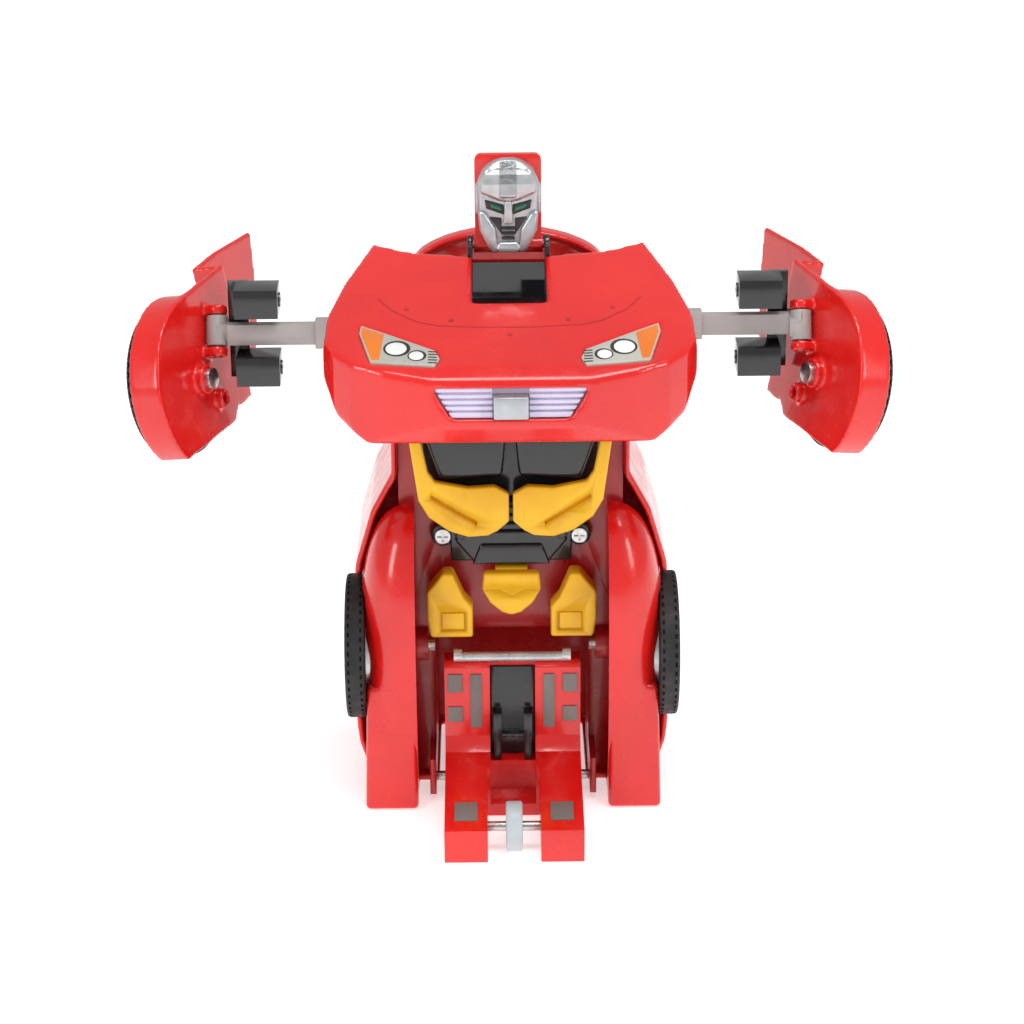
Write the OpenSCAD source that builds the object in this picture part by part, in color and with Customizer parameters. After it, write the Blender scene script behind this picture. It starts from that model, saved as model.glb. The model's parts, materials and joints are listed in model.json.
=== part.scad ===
// Toy car that unfolds into a standing robot, shown standing.
// X runs across the robot, +Y is its back (the car's roof side), +Z is up.

/* [Overall] */
// Half the width of the car body at the rear quarters
quarter_half_w = 50; // [49:0.5:56]
// Half the width of the nose at its bumper
nose_half_w = 54; // [50:0.5:58]
// Depth from the underside plane to the roof
roof_y = 52; // [49:0.5:60]
// Height of the cabin front edge
cabin_top_z = 170; // [166:0.5:176]
// Thickness of the body panels
wall = 2; // [1.4:0.1:2.6]

/* [Wheels] */
// Radius of all four tyres
tyre_r = 22.5; // [18:0.5:23]
// Width of the tyres
tyre_w = 9; // [6:0.5:10]
// Radius of the wheel rims
rim_r = 15; // [12:0.5:17]
// Radius of the wheel axles
axle_r = 2; // [1.5:0.1:3]

/* [Folding] */
// Depth of the nose fold hinge
fold_y = 21; // [19:0.5:23]
// Height of the nose fold hinge
fold_z = 156; // [154:0.5:157]
// Travel of each stage of a telescopic arm
arm_stroke = 26; // [22:0.5:26]
// Turn of the fender at its wrist
wrist_turn = 22.4; // [10:0.1:25]
// Running clearance around pins and axles
run_gap = 0.05; // [0.02:0.01:0.1]
// Radius of the hinge pins
pin_r = 1.5; // [1.2:0.1:1.8]

/* [Leg] */
// Height of the leg hinge above the floor
ankle_z = 6; // [5.5:0.5:8]
// Half the width of the shin
shin_half_w = 21; // [18:0.5:21.5]
// Reach of the toes in front of the underside plane
toe_reach = 54; // [46:1:54]
// Radius of the roller between the toes
roller_r = 7.5; // [6:0.5:8]

/* [Hidden] */
$fn = 48;
eps = 0.01;
y_shift = -6.6;                        // puts the middle of the whole toy over the origin

ground_y = -21;                        // where the road is when the toy lies as a car
tyre_gap = 1.3;                        // between a tyre and the panel around it
rear_wheel = [0, ground_y + tyre_r, 47];
rear_tyre_x = quarter_half_w + 1.3 - tyre_w / 2;
front_wheel = [0, -2, ground_y + tyre_r - fold_y + fold_z];
arm_out = 2 * arm_stroke;
front_tyre_x = 48 + arm_out;
inner_wall_x = 39.6 + arm_out;         // inboard face of the fender
fender_wall = 1.8;
arm_z = 148;
arm_y = [5.5, 11];                     // left and right arms pass each other as they retract
wrist_x = 36 + arm_out;
wrist_y = 8.25;                        // both wrists stand in line across the toy
wrist_axis = [0, 0.447, 0.894];
tube_x = [22.5, 58.3];
tube_size = [5.2, 8.4];
tube_bore = [3.6, 6.8];
bar_size = [3.2, 6.4];
guide_x = [12, 31.5];
slide_gap = 0.25;
cavity_half_w = 10.8;
cavity_y = [-13, 19.4];
cavity_floor_z = 152.8;
head_hinge = [0, 19.6, 171];
hood_slope = 15.2;
torso_z = [50, 131];
waist_half_w = 36.5;
block_x = [29.5, 46];
ankle_y = -8;
motor_y = 33;
motor_z = 134;
red = [0.85, 0.06, 0.05];
dark_red = [0.62, 0.04, 0.04];
yellow = [0.93, 0.74, 0.05];
black = [0.06, 0.06, 0.07];
silver = [0.78, 0.79, 0.8];
taupe = [0.5, 0.47, 0.45];

// Moves children so that the origin lies under the middle of the standing toy.
module placed() {
    translate([0, y_shift, 0]) children();
}

// Lifts children of a side piece onto the left (-1) or the right (+1).
module on_side(side) {
    mirror([side < 0 ? 1 : 0, 0, 0]) children();
}

// A box given by its two corners.
module span(low, high) {
    translate(low) cube(high - low);
}

// A rod along X between two places.
module rod_x(x1, x2, r, y, z) {
    translate([x1, y, z]) rotate([0, 90, 0]) cylinder(r = r, h = x2 - x1);
}

// An outline in Y and Z, drawn out along X.
module side_profile(x1, x2) {
    translate([x1, 0, 0]) rotate([90, 0, 90]) linear_extrude(x2 - x1) children();
}

// An outline in X and Z, drawn out along Y.
module front_profile(y1, y2) {
    translate([0, y2, 0]) rotate([90, 0, 0]) linear_extrude(y2 - y1) children();
}

// A pan head screw with a cross slot, its head toward -Y.
module screw_y(r, length) {
    difference() {
        union() {
            rotate([-90, 0, 0]) cylinder(r = r * 0.5, h = length);
            translate([0, -1.2, 0]) rotate([-90, 0, 0]) cylinder(r = r, h = 1.2);
        }
        for (turn = [0, 90]) rotate([0, turn, 0]) span([-r * 0.7, -1.3, -0.3], [r * 0.7, -0.6, 0.3]);
    }
}

module tyre(x) {
    translate([x - tyre_w / 2, 0, 0]) rotate([0, 90, 0]) rotate_extrude($fn = 72)
        polygon([[rim_r, 0], [tyre_r - 1.4, 0], [tyre_r, 1.4], [tyre_r, tyre_w - 1.4],
            [tyre_r - 1.4, tyre_w], [rim_r, tyre_w]]);
}

// A five-spoke rim, its open face outboard, with the axle bore through the hub.
module rim(x) {
    translate([x - tyre_w / 2, 0, 0]) rotate([0, 90, 0]) difference() {
        cylinder(r = rim_r, h = tyre_w, $fn = 72);
        translate([0, 0, 3]) cylinder(r = rim_r - 1.6, h = tyre_w, $fn = 72);
        for (spoke = [0:4]) rotate(spoke * 72 + 36) translate([rim_r * 0.62, 0, -1])
            cylinder(r = 2.6, h = tyre_w);
        translate([0, 0, -1]) cylinder(r = axle_r + run_gap, h = tyre_w);
    }
    translate([x - tyre_w / 2 + 3 - eps, 0, 0]) rotate([0, 90, 0]) difference() {
        cylinder(r = 4.5, h = tyre_w - 4.5);
        translate([0, 0, -1]) cylinder(r = axle_r + run_gap, h = tyre_w);
    }
}

// ---- Rear half of the car, the robot's back and base ----

module shell_side(inset) {
    offset(delta = -inset) polygon([[-40, -10], [roof_y - 9, -10], [roof_y - 9, 0], [roof_y - 5, 8],
        [roof_y - 3.5, 40], [roof_y - 1, 75], [roof_y, 105], [roof_y - 2.5, 140],
        [roof_y - 6, cabin_top_z + 10], [-40, cabin_top_z + 10]]);
}

module shell_front(inset) {
    offset(delta = -inset) polygon(concat(
        [[quarter_half_w - 6, -10], [quarter_half_w - 6, 0], [quarter_half_w - 1.5, 14], [quarter_half_w, 32],
            [quarter_half_w, 60], [quarter_half_w - 2, 75], [quarter_half_w - 7, 92],
            [waist_half_w, 104], [waist_half_w, 152]],
        [for (a = [0:10:180]) [31 * cos(a), cabin_top_z - 14 + 14 * sin(a)]],
        [[-waist_half_w, 152], [-waist_half_w, 104], [-quarter_half_w + 7, 92],
            [-quarter_half_w + 2, 75], [-quarter_half_w, 60], [-quarter_half_w, 32],
            [-quarter_half_w + 1.5, 14], [-quarter_half_w + 6, 0], [-quarter_half_w + 6, -10]]));
}

module shell_body(inset) {
    intersection() {
        side_profile(-60, 60) shell_side(inset);
        front_profile(-40, 70) shell_front(inset);
    }
}

module window_cuts() {
    span([-26, roof_y - 12, 120], [26, roof_y + 5, 156]);
    for (side = [-1, 1]) on_side(side) span([30, 18, 112], [45, roof_y - 9, 132]);
}

// Room for the folding nose and arms in front of the cabin edge.
module nose_sweep_cut() {
    side_profile(-60, 60) polygon([[-1, 127], [20, 127], [24, 138], [roof_y - 12.5, 146],
        [roof_y - 12.5, 200], [-1, 200]]);
}

module rear_shell() {
    color(red) difference() {
        intersection() {
            shell_body(0);
            span([-60, 0, 0], [60, 80, 200]);
        }
        difference() {
            shell_body(wall);
            span([-60, -50, -20], [60, 80, wall]);
        }
        span([-23, -5, -1], [23, roof_y - 9 - wall, wall + 1]);
        for (side = [-1, 1]) on_side(side)
            translate(rear_wheel) rod_x(rear_tyre_x - tyre_w / 2 - 1, 60, tyre_r + tyre_gap, 0, 0);
        nose_sweep_cut();
        for (side = [-1, 1]) translate([side * 36, roof_y - 14, -1]) cylinder(r = 4.5, h = wall + 2);
        window_cuts();
        span([-6, roof_y - 8, 90.9], [6, roof_y + 2, 94.1]);
        translate([0, roof_y - 8, 108]) rotate([-90, 0, 0]) cylinder(r = 4.2, h = 12);
    }
}

module cabin_windows() {
    color(black) difference() {
        intersection() {
            shell_body(wall + 0.05);
            union() {
                span([-28, roof_y - 20, 118], [28, roof_y + 5, 158]);
                for (side = [-1, 1]) on_side(side) span([30, 16, 110], [45, roof_y - 7, 133]);
            }
        }
        shell_body(wall + 1.25);
        nose_sweep_cut();
    }
}

module chassis_frame() {
    color(dark_red) difference() {
        union() {
            span([-waist_half_w + wall + 0.1, 3, torso_z[0] + 2], [waist_half_w - wall - 0.1, 5, torso_z[1] - 5]);
            for (side = [-1, 1]) on_side(side) {
                span([24, 3, 2], [26, 30, torso_z[0] + 2 + eps]);
                span([24, ankle_y - 5, wall], [26, 3 + eps, 14]);
                span([24, 3, torso_z[0]], [waist_half_w - 3, 5, torso_z[0] + 4]);
                span([24, 26, 24], [quarter_half_w - 12, 28.2, 70]);
                span([26 - eps, 3, 2], [block_x[0] + 4, 5, torso_z[0] + 3]);
                span([15, 5 - eps, 122], [19, fold_y + 4, torso_z[1] - 3]);
                span([15, fold_y - 4, torso_z[1] - 4], [19, fold_y + 4, fold_z]);
                rod_x(15, 19, 4, fold_y, fold_z);
                rod_x(26 - eps, 33, 5, rear_wheel[1], rear_wheel[2]);
            }
            span([-26, 27, 52], [26, 30, 60]);
        }
        for (side = [-1, 1]) on_side(side) {
            rod_x(14, 20, pin_r + run_gap, fold_y, fold_z);
            rod_x(23, 34, axle_r, rear_wheel[1], rear_wheel[2]);
            rod_x(23, 27, pin_r, ankle_y, ankle_z);
        }
        for (side = [-1, 1]) translate([side * 21, 0, 84]) rotate([-90, 0, 0]) cylinder(r = 1.2, h = 9);
    }
}

module stub_axles() {
    color(silver) for (side = [-1, 1]) on_side(side) translate(rear_wheel) {
        rod_x(24, rear_tyre_x + tyre_w / 2 - 1.4, axle_r, 0, 0);
        rod_x(rear_tyre_x + tyre_w / 2 - 1.4 - eps, rear_tyre_x + tyre_w / 2 - 0.2, axle_r + 1.3, 0, 0);
    }
}

// Corner of the rear bumper with the curved cover above it, in front of the wheel.
module bumper_half() {
    difference() {
        intersection() {
            side_profile(block_x[0], block_x[1]) polygon([[-18.5, 0], [-20, 3], [-20, 41],
                [-15, 48], [-13, 62], [-8, 76], [-2, 88], [-eps, 92], [-eps, 0]]);
            front_profile(-40, 20) polygon([[block_x[0], 0], [44, 0], [46, 12], [46, 60], [43, 76],
                [36, 88], [32.5, 93], [block_x[0], 93]]);
        }
        side_profile(block_x[0] + wall, block_x[1] - wall) polygon([[-18, wall], [-18, 40],
            [-13, 47.5], [-11, 61.5], [-6, 75], [0, 85], [2, 85], [2, wall]]);
        rod_x(rear_tyre_x - tyre_w / 2 - 0.8, 60, tyre_r + 0.7, rear_wheel[1], rear_wheel[2]);
        rod_x(block_x[0] - 1, 60, 6, rear_wheel[1], rear_wheel[2]);
    }
}

module bumper_left() { color(red) on_side(-1) bumper_half(); }
module bumper_right() { color(red) on_side(1) bumper_half(); }

module tail_lamps() {
    color([0.5, 0.02, 0.02]) for (side = [-1, 1]) on_side(side)
        translate([36, roof_y - 14, 0.2]) cylinder(r = 4.5, h = 2.6);
}

// ---- Battery compartment and electronics ----

cell_r = 7.1;
cell_z = [66, 116];
cell_y = 15;

module battery_box() {
    color(black) difference() {
        span([-25, 5, 62], [25, 24, 119]);
        span([-23.5, 4, 63.5], [23.5, 22.5, 117.5]);
        for (x = [-10, 10]) span([x - 2, 20, 90], [x + 2, 26, 96]);
    }
}

module battery_cells() {
    color([0.2, 0.35, 0.3]) for (i = [-1:1]) translate([i * 15.2, cell_y, cell_z[0]]) {
        cylinder(r = cell_r, h = cell_z[1] - cell_z[0] - 1);
        cylinder(r = 2.6, h = cell_z[1] - cell_z[0]);
    }
}

module battery_contacts() {
    color(silver) for (i = [-1:1]) {
        translate([i * 15.2, cell_y, 0]) {
            span([-5, -5, 116.6], [5, 5, 117.2]);
            translate([0, 0, 63.8]) difference() {
                cylinder(r = 3.4, h = 2);
                translate([0, 0, -1]) cylinder(r = 2.4, h = 4);
            }
        }
    }
}

// Chest and belly moulding that covers the batteries.
module battery_door() {
    color(black) difference() {
        union() {
            front_profile(-1, 2.8) polygon([[-27, 119], [27, 119], [27, 104], [19, 92], [18.5, 76],
                [-18.5, 76], [-19, 92], [-27, 104]]);
            front_profile(-6, 0) polygon([[-26, 118], [26, 118], [22, 104], [-22, 104]]);
            front_profile(-5, 0) polygon([[-15, 96], [15, 96], [18, 84], [11, 76], [-11, 76], [-18, 84]]);
            for (side = [-1, 1]) translate([side * 21, 0.5, 84]) rotate([-90, 0, 0])
                cylinder(r = 3.6, h = 2.3);
            for (z = [80:3.5:90]) span([-9, -6, z], [9, -4, z + 1.6]);
        }
        for (side = [-1, 1]) translate([side * 21, -1.5, 84]) rotate([-90, 0, 0]) {
            cylinder(r = 1.3, h = 9);
            cylinder(r = 2.6, h = 2);
        }
        span([-2, -7, 107], [2, -5, 115]);
    }
}

module door_screws() {
    color(silver) for (side = [-1, 1]) translate([side * 21, 0.5, 84]) screw_y(2.4, 6);
}

module chest_plate() {
    difference() {
        front_profile(-9, -6.1) polygon([[1, 91], [6, 88], [14, 87], [22, 91], [27, 97], [30.5, 118],
            [26.5, 118], [23, 104], [13, 102], [1, 101]]);
        for (i = [0:1]) translate([12 + i * 5, -9, 95 + i * 2.5]) rotate([0, -25, 0])
            span([-3, -1, -0.7], [3, 0.8, 0.7]);
    }
    front_profile(-6.1 - eps, -1.1) polygon([[23, 104], [27.5, 104], [29.5, 117], [27.3, 117]]);
}

module chest_plate_left() { color(yellow) on_side(-1) chest_plate(); }
module chest_plate_right() { color(yellow) on_side(1) chest_plate(); }

module shield_plate() {
    color(yellow) difference() {
        union() {
            front_profile(-9, -5) polygon([[-8.5, 75], [8.5, 75], [9, 69], [5, 63.5], [0, 61],
                [-5, 63.5], [-9, 69]]);
            front_profile(-5 - eps, 2.9) polygon([[-5, 75.5], [5, 75.5], [4, 67], [-4, 67]]);
        }
        for (side = [-1, 1]) on_side(side) front_profile(-9.5, -8.4)
            polygon([[0, 68.4], [4, 70.6], [9, 70], [9, 69.4], [4, 69.9], [0, 67.6]]);
    }
}

module hip_plate() {
    difference() {
        front_profile(-9.5, -2) polygon([[12, 54], [25, 54], [26, 60], [26, 70], [20, 75], [17.5, 75],
            [14, 66], [12, 64]]);
        front_profile(-11, -8.3) polygon([[13.5, 55.3], [22, 55.3], [22, 63], [13.5, 63]]);
    }
    front_profile(-2 - eps, 2.9) polygon([[14, 56], [24, 56], [24, 68], [14, 62]]);
}

module hip_plate_left() { color(yellow) on_side(-1) hip_plate(); }
module hip_plate_right() { color(yellow) on_side(1) hip_plate(); }

module fold_motor() {
    color(silver) {
        rod_x(-24, 4, 7, motor_y, motor_z);
        rod_x(4 - eps, 8, 2.5, motor_y, motor_z);
    }
}

module fold_gearbox() {
    color(black) difference() {
        span([4.2, motor_y - 8, motor_z - 18], [22, motor_y + 8, motor_z + 8]);
        rod_x(0, 9, 2.6, motor_y, motor_z);
        rod_x(20, 23, 2, motor_y, motor_z - 11);
    }
    color(black) rod_x(19, 26, 2, motor_y, motor_z - 11);
}

module circuit_board() {
    color([0.1, 0.4, 0.2]) span([-22, 32, 66], [22, 33.6, 104]);
    color(black) for (x = [-12, 0, 12]) span([x - 3, 33.5, 72], [x + 3, 35.5, 82]);
}

module speaker() {
    color(black) translate([0, roof_y - 9, 66]) rotate([90, 0, 0]) {
        cylinder(r1 = 13, r2 = 9, h = 4, $fn = 64);
        translate([0, 0, 4 - eps]) cylinder(r = 7, h = 3);
    }
}

module power_switch() {
    color(silver) {
        span([-3, roof_y - 11, 90.5], [3, roof_y - 1 - wall - 1, 94.5]);
        span([-1.5, roof_y - 6, 91.2], [1.5, roof_y + 1.4, 93.8]);
    }
}

module fold_button() {
    color(yellow) translate([0, 0, 108]) rotate([-90, 0, 0]) {
        translate([0, 0, roof_y - 11]) cylinder(r = 5.5, h = 4.2);
        translate([0, 0, roof_y - 8]) cylinder(r = 4, h = 9.6);
    }
}

module ankle_pins() {
    color(silver) for (side = [-1, 1]) on_side(side) rod_x(12, 26, pin_r, ankle_y, ankle_z);
}

module rear_rim_left() { color(silver) on_side(-1) translate(rear_wheel) rim(rear_tyre_x); }
module rear_rim_right() { color(silver) on_side(1) translate(rear_wheel) rim(rear_tyre_x); }
module rear_tyre_left() { color(black) on_side(-1) translate(rear_wheel) tyre(rear_tyre_x); }
module rear_tyre_right() { color(black) on_side(1) translate(rear_wheel) tyre(rear_tyre_x); }

// ---- Front of the car, the robot's shoulders ----

bumper_y = -46;
bumper_top_z = 154;
hood_skin = 2.2;
nose_back_y = -28.6;

function hood_z(y) = bumper_top_z + (y - bumper_y) * tan(hood_slope);

module nose_side(inset) {
    polygon([[20, hood_z(20) - inset], [bumper_y + inset * 0.4, bumper_top_z - inset],
        [-50.5 + inset, 151.5 - inset * 0.3], [-52 + inset, 146], [-51 + inset, 138],
        [-46 + inset * 0.6, 131 + inset], [-32, 128.5 + inset], [nose_back_y - eps, 128.5 + inset],
        [nose_back_y - eps, hood_z(nose_back_y) - hood_skin - eps],
        [20, hood_z(20) - hood_skin - eps]]);
}

module nose_plan(inset) {
    offset(delta = -inset) polygon([[-41, 20], [-49, -2], [-nose_half_w, -22], [-nose_half_w, -31],
        [3 - nose_half_w, -38], [9 - nose_half_w, -44], [18 - nose_half_w, -48], [-22, -51], [0, -52],
        [22, -51], [nose_half_w - 18, -48], [nose_half_w - 9, -44], [nose_half_w - 3, -38],
        [nose_half_w, -31], [nose_half_w, -22], [49, -2], [41, 20], [30, 15], [0, 11], [-30, 15]]);
}

module nose_front(inset) {
    offset(delta = -inset) polygon([[-46, 180], [1 - nose_half_w, 163], [-nose_half_w, 154],
        [-nose_half_w, 146], [4 - nose_half_w, 137], [14 - nose_half_w, 130], [-30, 120],
        [30, 120], [nose_half_w - 14, 130], [nose_half_w - 4, 137], [nose_half_w, 146],
        [nose_half_w, 154], [nose_half_w - 1, 163], [46, 180]]);
}

module headlamp_outline() {
    polygon([[43.5, -24.3], [21.3, -37.7], [19.8, -42], [21.3, -45.8], [40, -43.6], [43.8, -28.8]]);
}

module on_hood_slab(depth, proud) {
    intersection() {
        translate([0, 0, 140]) linear_extrude(40) children();
        side_profile(-60, 60) polygon([[-60, hood_z(-60) - depth], [-60, hood_z(-60) + proud],
            [20, hood_z(20) + proud], [20, hood_z(20) - depth]]);
    }
}

module intake_outline(inset) {
    offset(delta = -inset) polygon([[-22, 149], [22, 149], [17, 140], [-17, 140]]);
}

module nose_shell() {
    color(red) difference() {
        intersection() {
            side_profile(-60, 60) nose_side(0);
            translate([0, 0, 120]) linear_extrude(60) nose_plan(0);
            front_profile(-60, 30) nose_front(0);
        }
        intersection() {
            side_profile(-60, 60) polygon([[nose_back_y + 1, 129], [nose_back_y + 1, hood_z(nose_back_y) - 3],
                [nose_back_y - 0.5, hood_z(nose_back_y) - hood_skin - 0.3], [bumper_y + 1, bumper_top_z - 2.4],
                [-48.5, 150.5], [-50, 146], [-49, 139], [-45, 133], [-32, 130.5], [nose_back_y + 1, 130.5]]);
            translate([0, 0, 120]) linear_extrude(60) nose_plan(wall);
            front_profile(-60, 30) nose_front(wall);
        }
        span([-cavity_half_w, cavity_y[0], 150], [cavity_half_w, 30, 190]);
        span([-12.6, 14.5, 150], [12.6, 30, 190]);
        front_profile(-60, -40) intake_outline(0);
        for (side = [-1, 1]) on_side(side) on_hood_slab(1, 5) headlamp_outline();
    }
}

module grille() {
    color([0.86, 0.84, 0.93]) difference() {
        union() {
            front_profile(-49.8, -47.6) intake_outline(0.1);
            front_profile(-47.6 - eps, -46.4) intake_outline(-1.5);
        }
        for (z = [141.6:1.8:148]) span([-30, -51, z], [30, -48.8, z + 0.7]);
        span([-5.2, -51, 130], [5.2, -48.4, 160]);
    }
}

module tow_plate() {
    color(silver) span([-5, -53, 140.4], [5, -48.4, 147]);
}

module headlamp() {
    on_hood_slab(1, 0.3) offset(delta = -0.1) headlamp_outline();
}

module headlamp_left() { color([0.8, 0.8, 0.78]) on_side(-1) headlamp(); }
module headlamp_right() { color([0.8, 0.8, 0.78]) on_side(1) headlamp(); }

function side_index(side) = side < 0 ? 0 : 1;

module arm_guide(side) {
    y = arm_y[side_index(side)];
    outer = [tube_size[0] / 2 + 1.3, tube_size[1] / 2 + 1.1];
    hole = [tube_size[0] / 2 + slide_gap, tube_size[1] / 2 + slide_gap];
    difference() {
        span([guide_x[0], y - outer[0], arm_z - outer[1]], [guide_x[1], y + outer[0], arm_z + outer[1]]);
        span([guide_x[0] - 1, y - hole[0], arm_z - hole[1]], [guide_x[1] + 1, y + hole[0], arm_z + hole[1]]);
    }
}

// Floor and walls of the pocket that the head folds into, with the arm guides below.
module nose_tray() {
    t = 1.5;
    color(black) difference() {
        union() {
            difference() {
                span([-cavity_half_w - t, cavity_y[0] - t, cavity_floor_z],
                    [cavity_half_w + t, cavity_y[1], 180]);
                span([-cavity_half_w, cavity_y[0], cavity_floor_z + t], [cavity_half_w, 30, 190]);
                side_profile(-30, 30) polygon([[-40, hood_z(-40) - hood_skin - 0.05],
                    [14, hood_z(14) - hood_skin - 0.05], [14, 200], [-40, 200]]);
                side_profile(-30, 30) polygon([[13, 172], [30, 172], [30, 200], [13, 200]]);
            }
            span([-14.6, cavity_y[0] - t, cavity_floor_z], [14.6, 15, cavity_floor_z + t]);
            for (side = [-1, 1]) {
                on_side(side) {
                    arm_guide(side);
                    rod_x(cavity_half_w, cavity_half_w + t, 3, head_hinge[1], head_hinge[2]);
                    rod_x(cavity_half_w + t - eps, 14.6, 4, fold_y, fold_z);
                    span([cavity_half_w + t - eps, 14, cavity_floor_z], [14.6, fold_y, fold_z + 4]);
                    span([cavity_half_w, 14, cavity_floor_z], [cavity_half_w + t, fold_y, fold_z + 4]);
                }
            }
        }
        rod_x(-20, 20, 1.2, head_hinge[1], head_hinge[2]);
        for (side = [-1, 1]) on_side(side) rod_x(cavity_half_w - 1, 15, pin_r, fold_y, fold_z);
        translate([0, -2, cavity_floor_z - 1]) cylinder(r = 1.3, h = 4);
    }
    color(black) translate([0, -2, cavity_floor_z]) difference() {
        cylinder(r = 3, h = t + 0.8);
        translate([0, 0, -1]) cylinder(r = 1.3, h = 5);
    }
}

module fold_pins() {
    color(silver) for (side = [-1, 1]) on_side(side) rod_x(cavity_half_w + 0.2, 19.2, pin_r, fold_y, fold_z);
}

// ---- Head ----

module head_plate() {
    color(red) difference() {
        union() {
            rod_x(-10.4, 10.4, 2.4, head_hinge[1], head_hinge[2]);
            front_profile(18.1, 20.5) translate([-8, head_hinge[2] + 1.2]) offset(r = 2) square([16, 25]);
        }
        rod_x(-20, 20, 1.2 + run_gap, head_hinge[1], head_hinge[2]);
    }
}

module helmet() {
    color(silver) intersection() {
        side_profile(-12, 12) polygon([[18.1, 173.6], [14, 173.6], [14, 169], [9.5, 169], [8.5, 174],
            [8.5, 188], [10.5, 195], [13, 198.8], [18.1, 198.8]]);
        front_profile(0, 30) polygon([[-3, 169], [3, 169], [7, 176], [9.2, 185], [9.2, 192],
            [6.5, 197], [2.7, 198.8], [-2.7, 198.8], [-6.5, 197], [-9.2, 192], [-9.2, 185], [-7, 176]]);
    }
}

module eyes() {
    color([0, 0.5, 0.3]) for (side = [-1, 1]) on_side(side) span([2, 8, 184], [5.6, 8.5, 186]);
}

module head_pin() {
    color(silver) rod_x(-cavity_half_w - 1.4, cavity_half_w + 1.4, 1.2, head_hinge[1], head_hinge[2]);
}

// ---- Arms ----

module slide_box(x1, x2, side, size) {
    y = arm_y[side_index(side)];
    span([x1, y - size[0] / 2, arm_z - size[1] / 2], [x2, y + size[0] / 2, arm_z + size[1] / 2]);
}

module arm_tube(side) {
    color(silver) on_side(side) difference() {
        slide_box(tube_x[0], tube_x[1], side, tube_size);
        slide_box(tube_x[0] - 1, tube_x[1] + 1, side, tube_bore);
    }
}

module arm_tube_left() { arm_tube(-1); }
module arm_tube_right() { arm_tube(1); }

// Places children with Z along the wrist pin.
module at_wrist() {
    translate([wrist_x, wrist_y, arm_z]) rotate([-atan2(wrist_axis[1], wrist_axis[2]), 0, 0]) children();
}

module arm_bar(side) {
    color(silver) on_side(side) difference() {
        union() {
            slide_box(45.5, wrist_x - 3.3, side, bar_size);
            span([wrist_x - 3.5, wrist_y - 2.6, arm_z - 2.6], [wrist_x, wrist_y + 2.6, arm_z + 2.6]);
            at_wrist() translate([0, 0, -4.5]) cylinder(r = 3.2, h = 9);
        }
        at_wrist() translate([0, 0, -10]) cylinder(r = 1.2 + run_gap, h = 20);
    }
}

module arm_bar_left() { arm_bar(-1); }
module arm_bar_right() { arm_bar(1); }

// Gripping hand: a pod above and a pod below the arm, joined behind it.
module hand(side) {
    y = arm_y[side_index(side)];
    x = arm_out;
    color(black) on_side(side) {
        difference() {
            union() {
                span([x + 17, y - 5.5, 154.2], [x + 30, y + 5.5, 163]);
                span([x + 17, y - 5.5, 133], [x + 30, y + 5.5, 141.8]);
                span([x + 26.5, y + 4.3, 133], [x + 32.5, y + 6.3, 163]);
                span([x + 31.5, y + 4.3, 145.4], [x + 34.4, y + 6.3, 150.6]);
                span([x + 32.7, y, 145.4], [x + 34.4, y + 6.3, 150.6]);
            }
            at_wrist() translate([0, 0, -5]) cylinder(r = 3.2, h = 10);
            slide_box(x, wrist_x, side, bar_size);
            span([wrist_x - 3.5, wrist_y - 2.6, arm_z - 2.6], [wrist_x, wrist_y + 2.6, arm_z + 2.6]);
            for (z = [137.4, 158.6]) translate([x + 16, y, z]) rotate([0, 90, 0]) cylinder(r = 1.2, h = 7);
        }
        for (z = [137.4, 158.6]) translate([x + 16.4, y, z]) rotate([0, 90, 0]) difference() {
            cylinder(r = 2.2, h = 5);
            translate([0, 0, -0.1]) span([-0.3, -1.6, 0], [0.3, 1.6, 0.6]);
        }
    }
}

module hand_left() { hand(-1); }
module hand_right() { hand(1); }

// ---- Front fenders ----

arch_r = tyre_r + 3.1;
arch_lip = 1.5;

module splayed() {
    translate([wrist_x, wrist_y, arm_z]) rotate(a = wrist_turn, v = wrist_axis)
        translate([-wrist_x, -wrist_y, -arm_z]) children();
}

module at_front_axle() {
    translate([0, front_wheel[1], front_wheel[2]]) children();
}

module tail_outline() {
    polygon([[front_wheel[1], 162.1], [40, 164], [66, 163], [63, 150], [56, 130], [44, 122],
        [22, 120], [front_wheel[1], 124]]);
}

module arch_disc(r) {
    translate([front_wheel[1], front_wheel[2]]) circle(r = r, $fn = 96);
}

module fender(side) {
    x = inner_wall_x;
    color(red) on_side(side) splayed() difference() {
        union() {
            intersection() {
                side_profile(x, x + fender_wall) union() {
                    arch_disc(arch_r);
                    intersection() {
                        tail_outline();
                        translate([-50, 100]) square([78, 80]);
                    }
                }
                span([0, -60, 117], [200, 90, 200]);
            }
            intersection() {
                side_profile(x, x + 10) difference() {
                    arch_disc(arch_r);
                    arch_disc(arch_r - arch_lip);
                }
                side_profile(x, x + 10) polygon([[-40, 117], [-12, 117], [-2, 136], [26, 150],
                    [26, 180], [-40, 180]]);
            }
            side_profile(x + 8.4, x + 10) intersection() {
                tail_outline();
                translate([25.5, 100]) square([60, 80]);
            }
            side_profile(x, x + 10) intersection() {
                tail_outline();
                translate([25.5, 100]) square([1.8, 80]);
            }
            at_front_axle() {
                rod_x(x - 3, x + eps, 4.5, 0, 0);
                rod_x(x - 3, x + eps, 3, 8, -9);
            }
            at_wrist() for (z = [-7.8, 4.8]) {
                translate([0, 0, z]) cylinder(r = 3.2, h = 3);
                span([0, -2.8, z], [x - wrist_x + 0.5, 2.8, z + 3]);
            }
        }
        at_wrist() translate([0, 0, -10]) cylinder(r = 1.2, h = 20);
        at_front_axle() {
            rod_x(x - 5, x + 5, axle_r, 0, 0);
            rod_x(x - 5, x + 1, 1.8, 8, -9);
        }
    }
}

module fender_left() { fender(-1); }
module fender_right() { fender(1); }

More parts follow.
